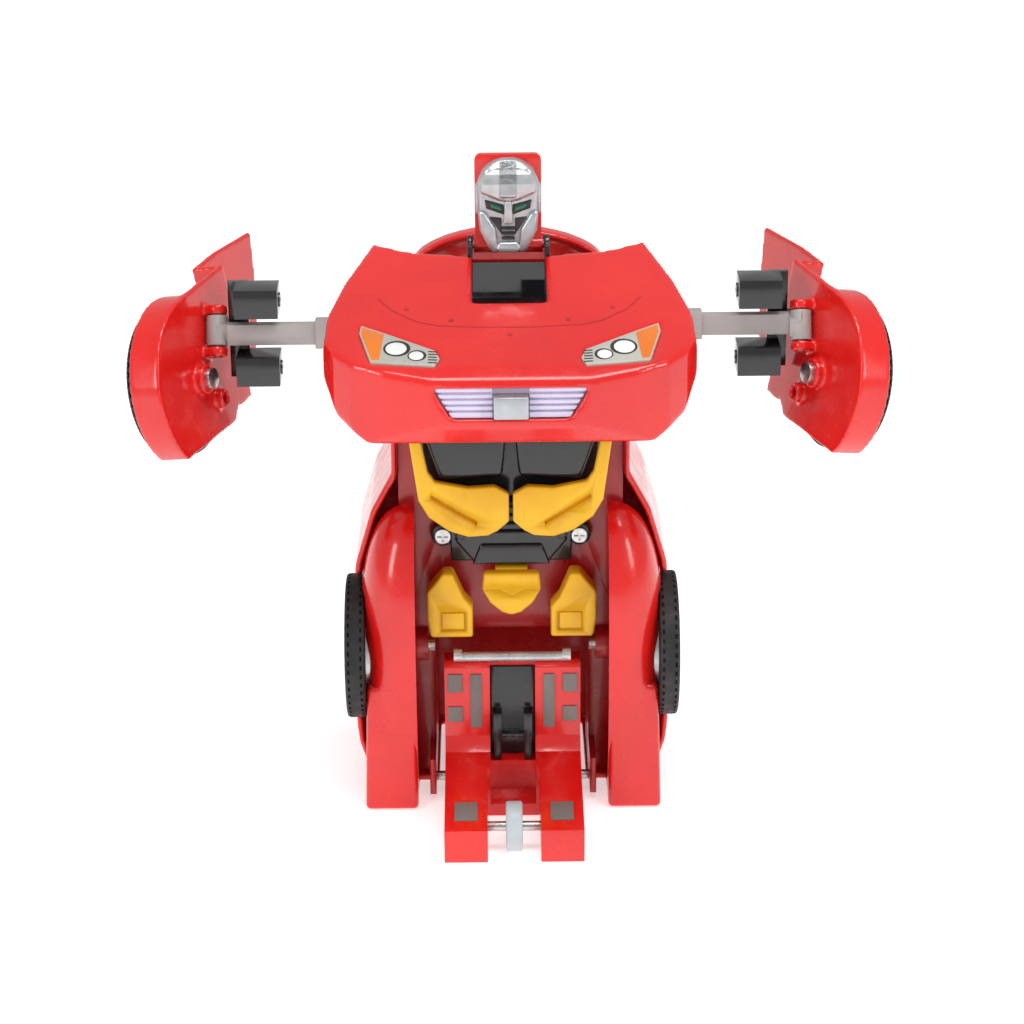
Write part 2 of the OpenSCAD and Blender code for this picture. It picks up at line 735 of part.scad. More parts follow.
module fender_pins(side) {
    color(silver) on_side(side) splayed() {
        at_wrist() translate([0, 0, -7.8]) cylinder(r = 1.2, h = 15.6);
        at_front_axle() {
            rod_x(inner_wall_x - 3 - eps, front_tyre_x + tyre_w / 2 - 1.4, axle_r, 0, 0);
            rod_x(front_tyre_x + tyre_w / 2 - 1.4 - eps, front_tyre_x + tyre_w / 2 - 0.2, axle_r + 1.3, 0, 0);
            rod_x(inner_wall_x - 4.6, inner_wall_x - 3, axle_r + 1.2, 0, 0);
        }
    }
}

module fender_pins_left() { fender_pins(-1); }
module fender_pins_right() { fender_pins(1); }

module front_place(side) {
    on_side(side) splayed() translate(front_wheel) children();
}

module front_rim_left() { color(silver) front_place(-1) rim(front_tyre_x); }
module front_rim_right() { color(silver) front_place(1) rim(front_tyre_x); }
module front_tyre_left() { color(black) front_place(-1) tyre(front_tyre_x); }
module front_tyre_right() { color(black) front_place(1) tyre(front_tyre_x); }

// ---- Kick leg ----

shin_y = -12.5;
roller_place = [0, 8.5 - toe_reach, roller_r + 0.2];

module leg_frame() {
    color(red) difference() {
        side_profile(-shin_half_w, shin_half_w) polygon([[-toe_reach, 0], [-toe_reach, 10.5],
            [-30, 14], [-16, 18], [shin_y, 22], [shin_y, 45], [-10, 46.5], [-4, 46.5],
            [-3.4, 44], [-3.4, 3], [-4.5, 0]]);
        span([-8, -toe_reach - 1, -1], [8, -24, 20]);
        span([-7, shin_y - 30, 14], [7, -8, 60]);
        span([-7, -25, 4], [7, -14, 30]);
        for (side = [-1, 1]) on_side(side) {
            rod_x(11, 30, pin_r + run_gap, ankle_y, ankle_z);
            rod_x(5, 10.2, 1.5, roller_place[1], roller_place[2]);
        }
    }
}

module leg_patches() {
    color(taupe) for (side = [-1, 1]) on_side(side) {
        span([15.5, shin_y - 0.5, 37], [20, shin_y, 43]);
        span([15.5, shin_y - 0.5, 27], [20, shin_y, 32]);
        span([9.5, shin_y - 0.5, 25], [13, shin_y, 43]);
        front = [-toe_reach + 5, -toe_reach + 14];
        rise = 3.5 / (toe_reach - 30);
        side_profile(11, 18) polygon([[front[0], 10.5 + 5 * rise], [front[1], 10.5 + 14 * rise],
            [front[1], 11 + 14 * rise], [front[0], 11 + 5 * rise]]);
    }
}

module leg_bar() {
    color(silver) {
        rod_x(-15.5, 15.5, 1.5, -10.5, 48);
        for (side = [-1, 1]) on_side(side) rod_x(15.5 - eps, 18, 2, -10.5, 48.5);
    }
}

module leg_recess() {
    color(black) {
        span([-6.8, -9, 14.2], [6.8, -8, 44]);
        span([-6, -14, 14.2], [-3.5, -9 + eps, 30]);
        span([3.5, -14, 14.2], [6, -9 + eps, 30]);
        span([-6, -11.5, 20], [6, -9 + eps, 22]);
    }
}

module roller() {
    color([0.78, 0.8, 0.81]) translate(roller_place) rotate([0, 90, 0]) translate([0, 0, -2.5])
        difference() {
            cylinder(r = roller_r, h = 5);
            translate([0, 0, -1]) cylinder(r = 1.5 + run_gap, h = 7);
        }
}

module roller_axle() {
    color(silver) translate(roller_place) rod_x(-10, 10, 1.5, 0, 0);
}

placed() rear_shell();
placed() cabin_windows();
placed() chassis_frame();
placed() stub_axles();
placed() bumper_left();
placed() bumper_right();
placed() tail_lamps();
placed() battery_box();
placed() battery_cells();
placed() battery_contacts();
placed() battery_door();
placed() door_screws();
placed() chest_plate_left();
placed() chest_plate_right();
placed() shield_plate();
placed() hip_plate_left();
placed() hip_plate_right();
placed() fold_motor();
placed() fold_gearbox();
placed() circuit_board();
placed() speaker();
placed() power_switch();
placed() fold_button();
placed() ankle_pins();
placed() rear_rim_left();
placed() rear_rim_right();
placed() rear_tyre_left();
placed() rear_tyre_right();
placed() nose_shell();
placed() nose_tray();
placed() grille();
placed() tow_plate();
placed() headlamp_left();
placed() headlamp_right();
placed() fold_pins();
placed() head_plate();
placed() helmet();
placed() eyes();
placed() head_pin();
placed() arm_tube_left();
placed() arm_tube_right();
placed() arm_bar_left();
placed() arm_bar_right();
placed() hand_left();
placed() hand_right();
placed() fender_left();
placed() fender_right();
placed() fender_pins_left();
placed() fender_pins_right();
placed() front_rim_left();
placed() front_rim_right();
placed() front_tyre_left();
placed() front_tyre_right();
placed() leg_frame();
placed() leg_patches();
placed() leg_bar();
placed() leg_recess();
placed() roller();
placed() roller_axle();
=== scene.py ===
"""Toy car unfolded into a standing robot: moulded plastic shells, printed trims and rubber tyres."""
import bpy
import bmesh
import json
import math
from mathutils import Matrix, Vector


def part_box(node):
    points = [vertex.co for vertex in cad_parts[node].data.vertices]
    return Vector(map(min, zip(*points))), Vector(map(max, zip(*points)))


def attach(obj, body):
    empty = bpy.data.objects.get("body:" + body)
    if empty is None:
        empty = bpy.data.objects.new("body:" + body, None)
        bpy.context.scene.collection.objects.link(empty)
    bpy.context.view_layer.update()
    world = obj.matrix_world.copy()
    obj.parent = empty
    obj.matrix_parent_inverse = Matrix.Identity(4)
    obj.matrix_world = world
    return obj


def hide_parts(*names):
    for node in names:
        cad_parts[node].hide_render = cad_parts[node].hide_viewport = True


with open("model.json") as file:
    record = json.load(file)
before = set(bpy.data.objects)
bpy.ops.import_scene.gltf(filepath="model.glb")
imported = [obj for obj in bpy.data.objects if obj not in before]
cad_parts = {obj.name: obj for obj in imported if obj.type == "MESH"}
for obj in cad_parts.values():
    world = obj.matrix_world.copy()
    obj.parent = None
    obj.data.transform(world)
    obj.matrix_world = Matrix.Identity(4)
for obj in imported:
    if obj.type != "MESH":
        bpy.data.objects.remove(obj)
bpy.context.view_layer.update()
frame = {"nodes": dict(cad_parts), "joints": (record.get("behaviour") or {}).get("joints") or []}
MM = 0.001
JOINTS = {joint["name"]: joint for joint in frame["joints"]}
NODES = frame["nodes"]


# ---- Small helpers for modelling ----

def deselect_all():
    if bpy.context.object and bpy.context.object.mode != "OBJECT":
        bpy.ops.object.mode_set(mode="OBJECT")
    bpy.ops.object.select_all(action="DESELECT")


def make_active(piece):
    deselect_all()
    piece.select_set(True)
    bpy.context.view_layer.objects.active = piece


def apply_modifier(piece, kind, **values):
    """Adds a modifier, sets it up and applies it."""
    make_active(piece)
    modifier = piece.modifiers.new(kind.title(), kind)
    for name, value in values.items():
        setattr(modifier, name, value)
    bpy.ops.object.modifier_apply(modifier=modifier.name)


def edit(piece, choose, kind="FACE"):
    """Enters edit mode with only the faces (or edges) that the choice picks."""
    make_active(piece)
    bpy.ops.object.mode_set(mode="EDIT")
    bpy.ops.mesh.select_mode(type=kind)
    bpy.ops.mesh.select_all(action="DESELECT")
    mesh = bmesh.from_edit_mesh(piece.data)
    for part in (mesh.faces if kind == "FACE" else mesh.edges):
        part.select_set(bool(choose(part)))
    mesh.select_flush_mode()
    bmesh.update_edit_mesh(piece.data)


def leave_edit():
    bpy.ops.object.mode_set(mode="OBJECT")


def place_in_mesh(piece):
    """Moves the object's place into its mesh, so that the object sits at the origin."""
    make_active(piece)
    bpy.ops.object.transform_apply(location=True, rotation=True, scale=True)


def smooth_by_angle(piece, degrees=35):
    make_active(piece)
    bpy.ops.object.shade_smooth_by_angle(angle=math.radians(degrees))


def tidy_normals(piece):
    edit(piece, lambda face: True)
    bpy.ops.mesh.remove_doubles(threshold=1e-6)
    bpy.ops.mesh.normals_make_consistent(inside=False)
    leave_edit()


def take_on(piece, body, material, slot, *stands_for):
    """Hands a finished piece to the body it moves with, with its material and the nodes it stands for."""
    place_in_mesh(piece)
    piece.data.materials.clear()
    piece.data.materials.append(material)
    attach(piece, body)
    if stands_for:
        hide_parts(*stands_for)
    return piece


def copy_node(node, name):
    """A merged copy of a CAD node's mesh as a new piece."""
    piece = bpy.data.objects.new(name, NODES[node].data.copy())
    bpy.context.scene.collection.objects.link(piece)
    edit(piece, lambda face: True)
    bpy.ops.mesh.remove_doubles(threshold=2e-6)
    bpy.ops.mesh.tris_convert_to_quads()
    leave_edit()
    return piece


def moulded(node, name, voxel, smooth_steps, factor=0.5):
    """A moulded copy of a node: its corners flow into each other as plastic does in a die."""
    piece = copy_node(node, name)
    apply_modifier(piece, "REMESH", mode="VOXEL", voxel_size=voxel, adaptivity=0)
    apply_modifier(piece, "SMOOTH", factor=factor, iterations=smooth_steps)
    make_active(piece)
    bpy.ops.object.shade_smooth()
    return piece


def add_box(name, low, high):
    """A cube primitive between two corners, given in millimetres."""
    deselect_all()
    middle = [(a + b) / 2 * MM for a, b in zip(low, high)]
    bpy.ops.mesh.primitive_cube_add(size=1, location=middle)
    piece = bpy.context.object
    piece.name = name
    piece.scale = [(b - a) * MM for a, b in zip(low, high)]
    place_in_mesh(piece)
    return piece


def add_prism(name, outline, y_front, y_back):
    """An outline in X and Z (millimetres), drawn out between two depths."""
    deselect_all()
    mesh = bpy.data.meshes.new(name)
    build = bmesh.new()
    loop = [build.verts.new((x * MM, y_front * MM, z * MM)) for x, z in outline]
    face = build.faces.new(loop)
    moved = bmesh.ops.extrude_face_region(build, geom=[face])["geom"]
    step = Vector((0, (y_back - y_front) * MM, 0))
    bmesh.ops.translate(build, vec=step, verts=[v for v in moved if isinstance(v, bmesh.types.BMVert)])
    bmesh.ops.recalc_face_normals(build, faces=build.faces)
    build.to_mesh(mesh)
    build.free()
    piece = bpy.data.objects.new(name, mesh)
    bpy.context.scene.collection.objects.link(piece)
    return piece


def bevel_all(piece, width, segments=3, degrees=25):
    apply_modifier(piece, "BEVEL", width=width * MM, segments=segments, limit_method="ANGLE",
                   angle_limit=math.radians(degrees), harden_normals=False)
    smooth_by_angle(piece, 40)


def mirrored_copy(piece, name):
    """The same piece on the other side of the toy, with its own mesh."""
    other = bpy.data.objects.new(name, piece.data.copy())
    bpy.context.scene.collection.objects.link(other)
    other.data.transform(Matrix.Scale(-1, 4, (1, 0, 0)))
    other.data.flip_normals()
    return other


def join(name, pieces):
    make_active(pieces[0])
    for piece in pieces[1:]:
        piece.select_set(True)
    bpy.ops.object.join()
    whole = bpy.context.object
    whole.name = name
    return whole


# ---- Materials ----

class Finish:
    """Builds one procedural material out of layers of noise, in the piece's own coordinates."""

    def __init__(self, name, colour, roughness, metallic=0.0, coat=0.0, coat_roughness=0.05, specular=0.5):
        self.material = bpy.data.materials.new(name)
        self.material.use_nodes = True
        self.tree = self.material.node_tree
        self.shader = self.tree.nodes["Principled BSDF"]
        self.shader.inputs["Metallic"].default_value = metallic
        self.shader.inputs["Coat Weight"].default_value = coat
        self.shader.inputs["Coat Roughness"].default_value = coat_roughness
        self.shader.inputs["Specular IOR Level"].default_value = specular
        self.shader.inputs["Base Color"].default_value = (*colour, 1)
        self.shader.inputs["Roughness"].default_value = roughness
        self.colour = colour
        self.roughness = roughness
        self.coordinates = self.tree.nodes.new("ShaderNodeTexCoord").outputs["Object"]
        self.last_bump = None

    def noise(self, scale, detail=4, rough=0.55, stretch=None):
        node = self.tree.nodes.new("ShaderNodeTexNoise")
        node.inputs["Scale"].default_value = scale
        node.inputs["Detail"].default_value = detail
        node.inputs["Roughness"].default_value = rough
        source = self.coordinates
        if stretch:
            mapping = self.tree.nodes.new("ShaderNodeMapping")
            mapping.inputs["Scale"].default_value = stretch
            self.tree.links.new(source, mapping.inputs["Vector"])
            source = mapping.outputs["Vector"]
        self.tree.links.new(source, node.inputs["Vector"])
        return node.outputs["Fac"]

    def spread(self, source, low_in, high_in, low_out, high_out):
        node = self.tree.nodes.new("ShaderNodeMapRange")
        for name, value in zip(("From Min", "From Max", "To Min", "To Max"),
                               (low_in, high_in, low_out, high_out)):
            node.inputs[name].default_value = value
        self.tree.links.new(source, node.inputs["Value"])
        return node.outputs["Result"]

    def vary_colour(self, scale, other, low=0.35, high=0.7, **noise):
        """Drifts the base colour toward another one in soft patches."""
        mix = self.tree.nodes.new("ShaderNodeMix")
        mix.data_type = "RGBA"
        amount = self.spread(self.noise(scale, **noise), low, high, 0, 1)
        self.tree.links.new(amount, mix.inputs["Factor"])
        base = self.shader.inputs["Base Color"]
        if base.is_linked:
            self.tree.links.new(base.links[0].from_socket, mix.inputs["A"])
        else:
            mix.inputs["A"].default_value = (*self.colour, 1)
        mix.inputs["B"].default_value = (*other, 1)
        self.tree.links.new(mix.outputs["Result"], base)
        return self

    def vary_roughness(self, scale, low, high, **noise):
        result = self.spread(self.noise(scale, **noise), 0.35, 0.65, low, high)
        self.tree.links.new(result, self.shader.inputs["Roughness"])
        return self

    def bump(self, source, distance, strength=1.0):
        node = self.tree.nodes.new("ShaderNodeBump")
        node.inputs["Distance"].default_value = distance
        node.inputs["Strength"].default_value = strength
        self.tree.links.new(source, node.inputs["Height"])
        if self.last_bump:
            self.tree.links.new(self.last_bump, node.inputs["Normal"])
        self.last_bump = node.outputs["Normal"]
        self.tree.links.new(self.last_bump, self.shader.inputs["Normal"])
        return self

    def edge_wear(self, colour, radius, amount):
        """Lightens convex corners a little, where handling rubs them."""
        bevel = self.tree.nodes.new("ShaderNodeBevel")
        bevel.inputs["Radius"].default_value = radius
        geometry = self.tree.nodes.new("ShaderNodeNewGeometry")
        dot = self.tree.nodes.new("ShaderNodeVectorMath")
        dot.operation = "DOT_PRODUCT"
        self.tree.links.new(bevel.outputs["Normal"], dot.inputs[0])
        self.tree.links.new(geometry.outputs["Normal"], dot.inputs[1])
        worn = self.spread(dot.outputs["Value"], 0.98, 0.8, 0, amount)
        mix = self.tree.nodes.new("ShaderNodeMix")
        mix.data_type = "RGBA"
        self.tree.links.new(worn, mix.inputs["Factor"])
        base = self.shader.inputs["Base Color"]
        if base.is_linked:
            self.tree.links.new(base.links[0].from_socket, mix.inputs["A"])
        else:
            mix.inputs["A"].default_value = (*self.colour, 1)
        mix.inputs["B"].default_value = (*colour, 1)
        self.tree.links.new(mix.outputs["Result"], base)
        return self


def glossy_plastic(name, colour, deeper, roughness=0.22):
    """Polished ABS: deep colour, slow ripples from the mould and a few fine handling marks."""
    finish = Finish(name, colour, roughness, coat=0.35, coat_roughness=0.06)
    finish.vary_colour(22, deeper, 0.4, 0.75)
    finish.vary_roughness(160, roughness - 0.06, roughness + 0.08)
    finish.bump(finish.noise(38, detail=1), 0.00025, 0.25)
    finish.bump(finish.noise(1400, detail=2), 0.00001, 0.35)
    finish.bump(finish.noise(260, detail=6, stretch=(1, 0.12, 1)), 0.00001, 0.25)
    return finish.material


def satin_plastic(name, colour, deeper, roughness=0.42, grain=900):
    finish = Finish(name, colour, roughness, specular=0.45)
    finish.vary_colour(45, deeper, 0.38, 0.7)
    finish.vary_roughness(200, roughness - 0.08, roughness + 0.1)
    finish.bump(finish.noise(grain, detail=3), 0.00003, 0.4)
    return finish.material


def painted_silver(name, colour, deeper):
    """Silver paint over plastic, with flake and thin spots."""
    finish = Finish(name, colour, 0.34, metallic=0.75)
    finish.vary_colour(60, deeper, 0.4, 0.72)
    finish.vary_roughness(420, 0.26, 0.44)
    finish.bump(finish.noise(2200, detail=2), 0.00002, 0.5)
    return finish.material


def machined_steel(name):
    finish = Finish(name, (0.62, 0.61, 0.6), 0.28, metallic=1.0)
    finish.vary_colour(90, (0.42, 0.41, 0.4), 0.4, 0.75)
    finish.vary_roughness(700, 0.2, 0.42, stretch=(1, 6, 1))
    finish.bump(finish.noise(1500, detail=2, stretch=(1, 8, 1)), 0.00002, 0.35)
    return finish.material


def tyre_rubber(name):
    finish = Finish(name, (0.014, 0.014, 0.015), 0.55, specular=0.4)
    finish.vary_colour(80, (0.035, 0.034, 0.033), 0.45, 0.75)
    finish.vary_roughness(350, 0.45, 0.7)
    finish.bump(finish.noise(1600, detail=4), 0.00005, 0.5)
    return finish.material


RED = glossy_plastic("red gloss plastic", (0.74, 0.012, 0.009), (0.62, 0.006, 0.006))
DARK_RED = glossy_plastic("dark red plastic", (0.48, 0.01, 0.01), (0.36, 0.006, 0.006), 0.32)
BLACK = glossy_plastic("black gloss plastic", (0.008, 0.008, 0.009), (0.018, 0.017, 0.018), 0.2)
DULL_BLACK = satin_plastic("black matt plastic", (0.018, 0.018, 0.019), (0.03, 0.029, 0.028), 0.5)
YELLOW = satin_plastic("yellow satin plastic", (0.86, 0.5, 0.012), (0.74, 0.38, 0.008), 0.36, 1200)
ROD_GREY = satin_plastic("warm grey plastic", (0.42, 0.40, 0.385), (0.34, 0.32, 0.31), 0.36)
TAUPE = satin_plastic("taupe paint", (0.2, 0.175, 0.16), (0.15, 0.135, 0.125), 0.45, 1600)
LILAC = satin_plastic("pale lilac plastic", (0.72, 0.66, 0.84), (0.62, 0.58, 0.75), 0.3)
ROLLER_GREY = satin_plastic("pale grey plastic", (0.5, 0.56, 0.58), (0.42, 0.48, 0.5), 0.4)
SILVER = painted_silver("silver paint", (0.60, 0.62, 0.63), (0.42, 0.44, 0.46))
GUNMETAL = painted_silver("gunmetal paint", (0.1, 0.075, 0.08), (0.05, 0.04, 0.045))
STEEL = machined_steel("machined steel")
RUBBER = tyre_rubber("tyre rubber")
AMBER = glossy_plastic("amber lens", (0.8, 0.22, 0.01), (0.7, 0.12, 0.01), 0.15)
LAMP_GREY = satin_plastic("printed lamp grey", (0.5, 0.5, 0.44), (0.38, 0.38, 0.34), 0.25)
LAMP_WHITE = satin_plastic("printed lamp white", (0.86, 0.86, 0.84), (0.74, 0.75, 0.74), 0.22)
LAMP_RED = glossy_plastic("tail lamp red", (0.3, 0.004, 0.004), (0.2, 0.002, 0.002), 0.12)
GREEN = glossy_plastic("green eye", (0.0, 0.16, 0.075), (0.0, 0.08, 0.04), 0.1)
WINDOW = glossy_plastic("smoked window", (0.012, 0.014, 0.017), (0.02, 0.023, 0.027), 0.08)
BOARD = satin_plastic("circuit board green", (0.02, 0.14, 0.05), (0.01, 0.08, 0.03), 0.4)
CELL = satin_plastic("battery wrap", (0.05, 0.14, 0.09), (0.02, 0.06, 0.05), 0.3)


# ---- Pieces that keep their designed shape and get softened edges and a finish ----

def finish_node(node, material, bevel=0.3, segments=2):
    piece = NODES[node]
    piece.data.materials.clear()
    piece.data.materials.append(material)
    if bevel:
        weld = piece.modifiers.new("Weld", "WELD")
        weld.merge_threshold = 2e-6
        rounding = piece.modifiers.new("Bevel", "BEVEL")
        rounding.width = bevel * MM
        rounding.segments = segments
        rounding.limit_method = "ANGLE"
        rounding.angle_limit = math.radians(30)
    smooth_by_angle(piece, 38)


PLAIN_NODES = {
    "chassis_frame": (DARK_RED, 0.4), "stub_axles": (STEEL, 0.2), "tail_lamps": (LAMP_RED, 0.4),
    "battery_box": (DULL_BLACK, 0.3), "battery_cells": (CELL, 0.3), "battery_contacts": (STEEL, 0.1),
    "door_screws": (STEEL, 0.12), "fold_motor": (STEEL, 0.4), "fold_gearbox": (DULL_BLACK, 0.4),
    "circuit_board": (BOARD, 0.1), "speaker": (DULL_BLACK, 0.3), "power_switch": (DULL_BLACK, 0.25),
    "fold_button": (YELLOW, 0.5), "ankle_pins": (STEEL, 0.2), "nose_tray": (BLACK, 0.25),
    "tow_plate": (SILVER, 0.5), "fold_pins": (STEEL, 0.2), "head_plate": (RED, 0.7),
    "head_pin": (STEEL, 0.15), "leg_bar": (SILVER, 0.25), "leg_recess": (BLACK, 0.3),
    "leg_patches": (TAUPE, 0.12), "roller": (ROLLER_GREY, 0.6), "roller_axle": (STEEL, 0.15),
    "cabin_windows": (WINDOW, 0.0), "grille": (LILAC, 0.15), "leg_frame": (RED, 0.7),
}
for side in ("left", "right"):
    PLAIN_NODES["arm_tube_" + side] = (ROD_GREY, 0.4)
    PLAIN_NODES["arm_bar_" + side] = (ROD_GREY, 0.4)
    PLAIN_NODES["fender_pins_" + side] = (STEEL, 0.25)
    PLAIN_NODES["front_rim_" + side] = (SILVER, 0.35)
    PLAIN_NODES["rear_rim_" + side] = (SILVER, 0.35)
    PLAIN_NODES["hand_" + side] = (BLACK, 0.7)
for node_name, (material, bevel) in PLAIN_NODES.items():
    finish_node(node_name, material, bevel)


# ---- Moulded shells ----

def make_shells():
    take_on(moulded("nose_shell", "hood_and_bumper", 0.55 * MM, 34), "nose", RED, "red_gloss", "nose_shell")
    shell = moulded("rear_shell", "rear_body_shell", 0.8 * MM, 14)
    cut(shell, add_box("switch_slot", (-10.4, 36, 90.6), (10.4, 50, 94.4)))
    take_on(shell, "chassis", RED, "red_gloss", "rear_shell")
    for side in ("left", "right"):
        take_on(moulded("fender_" + side, "front_fender_" + side, 0.5 * MM, 12),
                "fender_assembly_" + side, RED, "red_gloss", "fender_" + side)


def both_sides(build, name, material, slot, body, *nodes):
    """Builds the right-hand piece, and its mirrored twin on the left."""
    right = build(name + "_right")
    left = mirrored_copy(right, name + "_left")
    take_on(left, body, material, slot, *[n for n in nodes if n.endswith("_left")])
    take_on(right, body, material, slot, *[n for n in nodes if n.endswith("_right")])


# ---- Rear corners: a bumper block and the bulging quarter above it ----

REAR_AXLE = (1.5 - 6.6, 47)             # Y and Z of the rear axle, in millimetres


def cut(piece, cutter):
    apply_modifier(piece, "BOOLEAN", operation="DIFFERENCE", object=cutter, solver="EXACT")
    bpy.data.objects.remove(cutter)


def weld_on(piece, other):
    apply_modifier(piece, "BOOLEAN", operation="UNION", object=other, solver="EXACT")
    bpy.data.objects.remove(other)


def add_rod(name, x_low, x_high, radius, y, z):
    """A cylinder along X, its place given in millimetres."""
    deselect_all()
    bpy.ops.mesh.primitive_cylinder_add(vertices=96, radius=radius * MM, depth=(x_high - x_low) * MM,
                                        location=((x_low + x_high) / 2 * MM, y * MM, z * MM),
                                        rotation=(0, math.pi / 2, 0))
    piece = bpy.context.object
    piece.name = name
    place_in_mesh(piece)
    return piece


def add_bulge(name, middle, radii):
    """A stretched ball, its middle and radii given in millimetres."""
    deselect_all()
    bpy.ops.mesh.primitive_uv_sphere_add(segments=96, ring_count=64, radius=1,
                                         location=[c * MM for c in middle])
    piece = bpy.context.object
    piece.name = name
    piece.scale = [r * MM for r in radii]
    place_in_mesh(piece)
    for vertex in piece.data.vertices:      # fuller shoulders than a plain ball has
        away = [(c - m * MM) / (r * MM) for c, m, r in zip(vertex.co, middle, radii)]
        vertex.co = [m * MM + math.copysign(abs(a) ** 0.8, a) * r * MM
                     for a, m, r in zip(away, middle, radii)]
    return piece


def rear_corner(name):
    middle, radii = (30, -4.6, 47), (17.4, 21.9, 48)
    corner = add_bulge(name, middle, radii)
    block = add_box("block", (29.5, -26.4, 0), (46, -6.62, 40.6))
    edit(block, lambda face: face.normal.z > 0.9)
    bpy.ops.transform.resize(value=(0.9, 0.86, 1), center_override=(0.0345, -0.0066, 0.0406))
    leave_edit()
    bevel_all(block, 1.6, 4)
    weld_on(corner, block)
    cut(corner, add_bulge("hollow", middle, [r - 2 for r in radii]))
    cut(corner, add_box("room", (31.5, -23.6, 2), (44, 5, 38.4)))
    cut(corner, add_box("inboard", (-20, -60, -60), (29.5, 60, 120)))
    cut(corner, add_box("behind", (0, -6.62, -60), (80, 60, 120)))
    cut(corner, add_box("below", (0, -60, -60), (80, 60, 0)))
    cut(corner, add_rod("arch", 44.9, 60, 23.3, *REAR_AXLE))
    cut(corner, add_rod("rim_room", 41.4, 60, 15.6, *REAR_AXLE))
    cut(corner, add_rod("axle_room", 28, 60, 6, *REAR_AXLE))
    bevel_all(corner, 0.5, 3, 40)
    smooth_by_angle(corner, 40)
    return corner


# ---- Tyres ----

def make_tyre(name, joint_name, width_mm, shift_mm, body, node):
    """A treaded tyre turned on the wheel's own axis, moved outboard by the shift."""
    radius, inner, half = 22.5 * MM, 15.05 * MM, width_mm / 2 * MM
    deselect_all()
    bpy.ops.mesh.primitive_cylinder_add(vertices=96, radius=radius, depth=2 * half,
                                        rotation=(0, math.pi / 2, 0))
    piece = bpy.context.object
    piece.name = name
    place_in_mesh(piece)
    edit(piece, lambda face: abs(face.normal.x) > 0.9)
    bpy.ops.mesh.inset(thickness=radius - inner)
    bpy.ops.mesh.delete(type="FACE")
    bpy.ops.mesh.select_mode(type="EDGE")
    leave_edit()
    edit(piece, lambda edge: edge.is_boundary, "EDGE")
    bpy.ops.mesh.bridge_edge_loops()
    leave_edit()
    edit(piece, lambda edge: all(abs(Vector((0, v.co.y, v.co.z)).length - radius) < 1e-5 for v in edge.verts)
         and all(abs(abs(v.co.x) - half) < 1e-6 for v in edge.verts), "EDGE")
    bpy.ops.mesh.bevel(offset=1.5 * MM, segments=4, profile=0.6)
    leave_edit()
    for cut in (-1.1 * MM, 1.1 * MM):
        edit(piece, lambda face: Vector((0, *face.normal[1:])).length > 0.95 and face.calc_center_median()
             .yz.length > radius * 0.97)
        bpy.ops.mesh.bisect(plane_co=(cut, 0, 0), plane_no=(1, 0, 0))
        leave_edit()
    step = math.tau / 96

    def groove(face):
        middle = face.calc_center_median()
        if middle.yz.length < radius * 0.985 or abs(face.normal.x) > 0.2 or abs(middle.x) < 1.1 * MM:
            return False
        turn = int(round((math.atan2(middle.z, middle.y) % math.tau) / step - 0.5))
        return turn % 2 == (0 if middle.x > 0 else 1)

    edit(piece, groove)
    bpy.ops.mesh.extrude_region_shrink_fatten(
        TRANSFORM_OT_shrink_fatten={"value": -0.8 * MM})
    leave_edit()
    tidy_normals(piece)
    smooth_by_angle(piece, 32)
    joint = JOINTS[joint_name]
    axis = Vector(joint["axis"])
    turn = Vector((1, 0, 0)).rotation_difference(axis)
    low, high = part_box(node)
    centre = Vector([(a + b) / 2 for a, b in zip(low, high)])
    outboard = axis * math.copysign(shift_mm * MM, centre.x * axis.x)
    piece.data.transform(Matrix.Translation(centre + outboard) @ turn.to_matrix().to_4x4())
    return take_on(piece, body, RUBBER, "tyre_rubber", node)


def make_tyres():
    for side in ("left", "right"):
        make_tyre("rear_tread_" + side, "rear_wheel_%s_spin" % side, 6.2, 1.4, "rear_wheel_" + side,
                  "rear_tyre_" + side)
        make_tyre("front_tread_" + side, "front_wheel_%s_spin" % side, 9, 0, "front_wheel_" + side,
                  "front_tyre_" + side)


make_shells()
both_sides(rear_corner, "rear_corner", RED, "red_gloss", "chassis", "bumper_left", "bumper_right")
make_tyres()


# ---- Torso ----

Y = -6.6                                # the underside plane of the car, in millimetres


def soft_prism(name, outline, front, back, round_by=0.8, segments=3):
    piece = add_prism(name, outline, front + Y, back + Y)
    bevel_all(piece, round_by, segments)
    return piece


def chest_wing(name):
    """A yellow chest plate: rising wing, lower lobe, and two slanting vents."""
    plate = soft_prism(name, [(0.6, 92), (4, 89), (7, 87.4), (13, 87), (19, 89), (25, 93.5), (28, 99),
                              (30.5, 118), (27, 118), (25, 108), (23, 105), (13, 103), (5, 103.5),
                              (0.6, 101)], -9, -6.15, 0.7)
    for i in range(2):
        cutter = soft_prism("vent", [(-4.2, -0.8), (4.2, -0.8), (4.8, 0.8), (-3.6, 0.8)], -4, 4, 0.3, 2)
        cutter.data.transform(Matrix.Translation((0, -Y * MM, 0)))
        cutter.data.transform(Matrix.Translation(((13.5 + i * 7) * MM, (-10.5 + Y) * MM, (93.5 + i * 4.4) * MM))
                              @ Matrix.Rotation(math.radians(-32), 4, "Y"))
        apply_modifier(plate, "BOOLEAN", operation="DIFFERENCE", object=cutter, solver="EXACT")
        bpy.data.objects.remove(cutter)
    return plate


